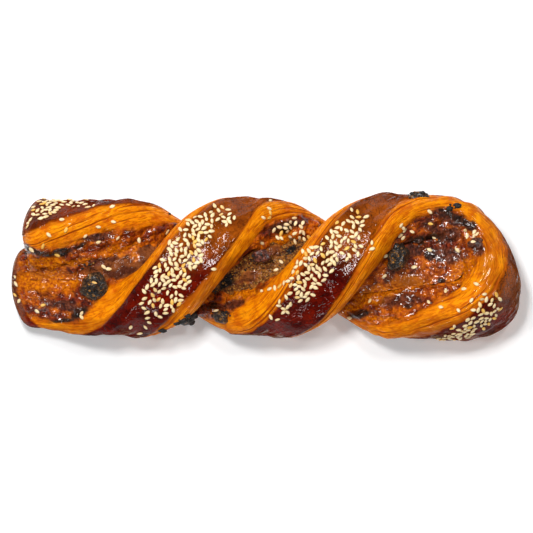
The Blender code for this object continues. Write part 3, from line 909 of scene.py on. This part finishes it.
def dough_material(name, specular, coat_ior, coat_roughness):
    """Laminated wheat dough, baked: silky orange layers with fine dark lines where it
    was cut, and a lacquered brown skin. Its two finishes share these colours, so that
    they meet without a seam. They differ in their coat: dried syrup on the cut layers
    is as clear as sugar glass, and egg wash on the skin reflects less, and softer."""
    material, tree, shader = new_material(
        name, Specular_IOR_Level=specular, Coat_IOR=coat_ior, Coat_Roughness=coat_roughness
    )
    names = ("skin", "syrup", "edge", "cuts", "toasted_and_painted_shade", "dull", "painted_light", "washed", "painted_reflection")
    at, skin, syrup, edge, cuts, toasted_and_painted_shade, dull, painted_light, washed, painted_reflection = start_tree(tree, names)
    strip = add(tree, "Attribute", attribute_name="strip", out="Vector")

    # The cut edge: fibres of dough 1.2 mm apart, drawn out along the strip, in layers of
    # 3 mm, with smears where it took more of the syrup's colour
    drawn = add(tree, "VectorMath", strip, (0.28, 1, 1), operation="MULTIPLY")
    fibres = add(tree, "TexNoise", drawn, Scale=1 / 1.2, Detail=4.0, Distortion=1.2)
    bright = add(tree, "MapRange", fibres, 0.34, 0.58)
    gold = add(tree, "Mix", bright, "C45C00", "FA9400", data_type="RGBA")
    slow = add(tree, "VectorMath", strip, (0.12, 1, 1), operation="MULTIPLY")
    layers = add(tree, "TexNoise", slow, Scale=1 / 3.0, Detail=3.0, Distortion=0.4)
    redder = add(tree, "MapRange", layers, 0.5, 0.66, 0.0, 0.35)
    gold = add(tree, "Mix", redder, gold, "B04A00", data_type="RGBA")
    smears = add(tree, "TexNoise", at, Scale=1 / 4.5, Detail=4.0, Distortion=0.5)
    redder = add(tree, "MapRange", smears, 0.52, 0.68, 0.0, 0.75)
    gold = add(tree, "Mix", redder, gold, "C25400", data_type="RGBA")
    paler = add(tree, "MapRange", smears, 0.44, 0.32, 0.0, 0.6)
    gold = add(tree, "Mix", paler, gold, "FFA206", data_type="RGBA")
    # Painted shade: the gold darker in the painted shade spots, low on the near side, at the
    # right end and beside a crack
    redder = add(tree, "MapRange", toasted_and_painted_shade, 0.0, 1.0, 0.0, 0.5)
    gold = add(tree, "Mix", redder, gold, "9A4800", data_type="RGBA")
    cut = add(tree, "Mix", cuts, gold, "963E00", data_type="RGBA")
    by_lip = add(tree, "MapRange", edge, 0.0, 0.25, 0.4, 0.0)
    cut = add(tree, "Mix", by_lip, cut, "A84400", data_type="RGBA")
    by_skin = add(tree, "MapRange", edge, 0.82, 1.0, 0.0, 0.75)
    cut = add(tree, "Mix", by_skin, cut, "963C00", data_type="RGBA")

    # The skin: patches of 9 mm, in a shaded copy that runs to oxblood and a lit copy that runs
    # to chestnut. Painted light mixes them, so the skin is chestnut on its lit side. Low on its
    # sides a painted reflection of the pale floor lies in small streaky patches.
    patches = add(tree, "TexNoise", at, Scale=1 / 9.0, Detail=4.0)
    patches = add(tree, "MapRange", patches, 0.36, 0.66)
    # A shaded copy of the skin's colours, to oxblood, and a lit copy, to chestnut, mixed by the
    # painted light
    dark = add(tree, "Mix", patches, "400200", "781400", data_type="RGBA")
    light = add(tree, "Mix", patches, "6E2E02", "9C4A06", data_type="RGBA")
    brown = add(tree, "Mix", painted_light, dark, light, data_type="RGBA")
    brown = add(tree, "Mix", painted_reflection, brown, "AC8C6A", data_type="RGBA")

    caramel, syrup_high, glassy = syrup_finish(tree, at)
    colour = add(tree, "Mix", syrup, cut, caramel, data_type="RGBA")
    colour = add(tree, "Mix", skin, colour, brown, data_type="RGBA")

    # The coat: egg wash on the skin, syrup, and a glint of it along the fibres
    glaze = add(tree, "Math", syrup, glassy, operation="MULTIPLY")
    glaze = add(tree, "Math", glaze, dull, operation="SUBTRACT")
    glaze = add(tree, "Math", washed, glaze, operation="MAXIMUM")
    glints = add(tree, "MapRange", fibres, 0.55, 0.63, 0.0, 0.7)
    glaze = add(tree, "Math", glaze, glints, operation="MAXIMUM")

    # Relief: fibres 0.35 mm high, drawn coarser than real ones so that they show, and
    # skin that wrinkled as it dried, 2.4 mm from one wrinkle to the next
    fibres_high = add(tree, "MapRange", fibres, 0.3, 0.7, 0.0, 0.35)
    wrinkles = add(tree, "TexNoise", at, Scale=1 / 2.4, Detail=1.0, Distortion=1.0)
    skin_high = add(tree, "MapRange", wrinkles, 0.3, 0.7, 0.0, 1.2)
    high = add(tree, "Mix", syrup, fibres_high, syrup_high, data_type="FLOAT")
    high = add(tree, "Mix", skin, high, skin_high, data_type="FLOAT")
    finish_tree(tree, shader, colour, glaze, (0.6, 0.4), high)
    return material


def filling_material():
    """Fruit and nut filling, boiled and baked: dull brown crumb with dark bits, and
    glassy where dried syrup covers it."""
    material, tree, shader = new_material(
        "fruit_filling_baked", Coat_Roughness=0.09, Coat_IOR=1.45, Specular_IOR_Level=0.15
    )
    names = ("crumb", "yolk", "wine", "burnt")
    at, crumb, yolk, wine, burnt = start_tree(tree, names)

    # The crumb: granules of about 1 mm with dark gaps and golden flecks
    grains = add(tree, "TexNoise", at, Scale=1 / 1.1, Detail=4.0)
    gaps = add(tree, "MapRange", grains, 0.36, 0.52)
    blotches = add(tree, "TexNoise", at, Scale=1 / 4.5, Detail=2.0)
    blotches = add(tree, "MapRange", blotches, 0.4, 0.6)
    brown = add(tree, "Mix", blotches, "602E0C", "94581E", data_type="RGBA")
    brown = add(tree, "Mix", gaps, "2C1408", brown, data_type="RGBA")
    flecks = add(tree, "TexNoise", at, Scale=1 / 0.8, Detail=2.0)
    flecks = add(tree, "MapRange", flecks, 0.56, 0.66)
    brown = add(tree, "Mix", flecks, brown, "B07C34", data_type="RGBA")
    brown = add(tree, "Mix", burnt, brown, "140C08", data_type="RGBA")

    # Under the syrup: an amber lump, and jam the colour of wine
    caramel, syrup_high, glassy = syrup_finish(tree, at)
    caramel = add(tree, "Mix", yolk, caramel, "8C4600", data_type="RGBA")
    jam = add(tree, "Mix", blotches, "4E200A", "84461C", data_type="RGBA")
    caramel = add(tree, "Mix", wine, caramel, jam, data_type="RGBA")
    colour = add(tree, "Mix", crumb, caramel, brown, data_type="RGBA")

    glassy = add(tree, "MapRange", yolk, 0.0, 0.7, glassy, 0.05)
    matt = add(tree, "Math", crumb, wine, operation="MAXIMUM")
    gloss = add(tree, "MapRange", matt, 0.0, 1.0, glassy, 0.1)
    grains_high = add(tree, "MapRange", grains, 0.3, 0.7, 0.0, 0.5)
    high = add(tree, "Mix", crumb, syrup_high, grains_high, data_type="FLOAT")
    finish_tree(tree, shader, colour, gloss, (0.7, 0.4), high)
    return material


def raisin_material():
    """Dried grapes, baked on: black wrinkled skin with a waxy shine, tan and dull where
    it cracked."""
    material, tree, shader = new_material(
        "raisin_dried_baked", Coat_Roughness=0.22, Specular_IOR_Level=0.3
    )
    at, tone = start_tree(tree, ("tone",))
    wrinkles = add(tree, "TexNoise", at, Scale=1 / 1.6, Detail=5.0, Distortion=0.8)
    raised = add(tree, "MapRange", wrinkles, 0.42, 0.62)
    black = add(tree, "Mix", raised, "070504", "3E2A18", data_type="RGBA")
    cracks = add(tree, "TexNoise", at, Scale=1 / 2.2, Detail=5.0, Distortion=1.5)
    cracks = add(tree, "MapRange", cracks, 0.55, 0.66, 0.0, 0.85)
    black = add(tree, "Mix", cracks, black, "A0703A", data_type="RGBA")
    red = add(tree, "Mix", raised, "34100A", "783E2A", data_type="RGBA")
    colour = add(tree, "Mix", tone, black, red, data_type="RGBA")
    gloss = add(tree, "MapRange", cracks, 0.0, 0.3, 0.5, 0.1)
    high = add(tree, "MapRange", wrinkles, 0.3, 0.7, 0.0, 0.8)
    finish_tree(tree, shader, colour, gloss, (0.6, 0.4), high)
    return material


def crumb_material():
    """Granules of nut and sugar baked onto the crust, dull as charcoal: most of them
    are burnt black, and a few are golden."""
    material, tree, shader = new_material(
        "nut_crumbs_baked_on", Roughness=0.55, Specular_IOR_Level=0.4
    )
    _, tone = start_tree(tree, ("tone",))
    burnt = add(tree, "MapRange", tone, 0.1, 0.6)
    dark = add(tree, "Mix", burnt, "0C0907", "2E1C10", data_type="RGBA")
    golden = add(tree, "MapRange", tone, 0.6, 0.9)
    colour = add(tree, "Mix", golden, dark, "A06A22", data_type="RGBA")
    tree.links.new(colour, shader.inputs["Base Color"])
    return material


def sesame_material():
    """Hulled sesame, baked on the pastry till cream and some seeds golden, with a dull shine and
    painted shade that browns each seed towards its edge."""
    material, tree, shader = new_material(
        "sesame_hulled_toasted", Roughness=0.42, Specular_IOR_Level=0.35
    )
    at, tone, painted_shade_rim = start_tree(tree, ("tone", "painted_shade_rim"))
    mottle = add(tree, "TexNoise", at, Scale=1 / 1.2, Detail=2.0)
    mottle = add(tree, "MapRange", mottle, 0.35, 0.65)
    cream = add(tree, "Mix", mottle, "E8CC92", "F6E2B8", data_type="RGBA")
    golden = add(tree, "Mix", mottle, "E0A23A", "F3C766", data_type="RGBA")
    toasted_and_painted_shade = add(tree, "MapRange", tone, 0.84, 0.92)
    colour = add(tree, "Mix", toasted_and_painted_shade, cream, golden, data_type="RGBA")
    # Painted shade: each seed browner towards its edge
    painted_edge_shade = add(tree, "MapRange", painted_shade_rim, 0.7, 1.0, 0.0, 0.6)
    colour = add(tree, "Mix", painted_edge_shade, colour, "B88038", data_type="RGBA")
    tree.links.new(colour, shader.inputs["Base Color"])
    return material


# --- Camera, light and floor --------------------------------------------------------


def set_stage():
    """Pale floor, soft light from the photograph's top side, and a camera above."""
    scene = bpy.context.scene
    scene.view_settings.view_transform = "Standard"
    width = PHOTO_PIXELS * PIXEL * MM
    camera = bpy.data.cameras.new("camera")
    camera.sensor_width = 36.0
    camera.lens = camera.sensor_width * CAMERA_AWAY / width
    camera_object = bpy.data.objects.new("camera", camera)
    camera_object.location = (0, 0, CAMERA_AWAY + AXIS_Z * MM)
    scene.collection.objects.link(camera_object)
    scene.camera = camera_object

    build = bmesh.new()
    bmesh.ops.create_grid(build, x_segments=1, y_segments=1, size=FLOOR_HALF)
    mesh = bpy.data.meshes.new("floor")
    build.to_mesh(mesh)
    build.free()
    floor = bpy.data.objects.new("floor", mesh)
    scene.collection.objects.link(floor)

    # Opal acrylic, matt and lit from below: its cool glow keeps the shadow pale and grey
    board, _, shader = new_material(
        "opal_acrylic_light_table", Roughness=0.9, Emission_Strength=0.1
    )
    shader.inputs["Base Color"].default_value = linear("FFFFFF")
    shader.inputs["Emission Color"].default_value = linear("E2F0F6")
    mesh.materials.append(board)

    # A white room: bright near the horizon, dim overhead, so that the glaze stays dark
    world = bpy.data.worlds.new("studio")
    world.use_nodes = True
    tree = world.node_tree
    way = add(tree, "TexCoord", out="Generated")
    height = add(tree, "SeparateXYZ", way, out="Z")
    glow = add(tree, "MapRange", height, 0.1, 0.75, *ROOM_GLOW)
    tree.links.new(glow, tree.nodes["Background"].inputs["Strength"])
    tree.nodes["Background"].inputs["Color"].default_value = (1, 1, 1, 1)
    scene.world = world
    for name, place, size, power in LAMPS:
        lamp = bpy.data.lights.new(name, "AREA")
        lamp.size = size
        lamp.energy = power
        lamp_object = bpy.data.objects.new(name, lamp)
        lamp_object.location = place
        lamp_object.rotation_mode = "QUATERNION"
        lamp_object.rotation_quaternion = Vector(place).to_track_quat("Z", "Y")
        scene.collection.objects.link(lamp_object)


def dress(obj, material):
    """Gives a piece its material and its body."""
    obj.data.materials.append(material)
    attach(obj, "root")


set_stage()
dough = dough_piece()
cut_layers = dough_material("laminated_dough_cut_and_glazed", 0.06, 1.45, 0.07)
egg_washed = dough_material("egg_washed_skin_baked", 0.0, 1.36, 0.1)
dress(dough, cut_layers)
dough.data.materials.append(egg_washed)
skins = dough.data.attributes["skin"].data
finish = [int(skins[face.vertices[0]].value > 0.5) for face in dough.data.polygons]
dough.data.polygons.foreach_set("material_index", finish)
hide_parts("dough")
filling = filling_piece()
dress(filling, filling_material())
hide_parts("filling")
raisins = [raisin_piece(number, tone) for number, tone in enumerate(RAISIN_TONES, 1)]
fruit = raisin_material()
for raisin in raisins:
    raisin.data.materials.append(fruit)
surface = surface_tree([dough, filling, *raisins])
crumbs = burnt_crumbs_piece(surface)
dress(crumbs, crumb_material())
seeds = sesame_piece(surface)
dress(seeds, sesame_material())
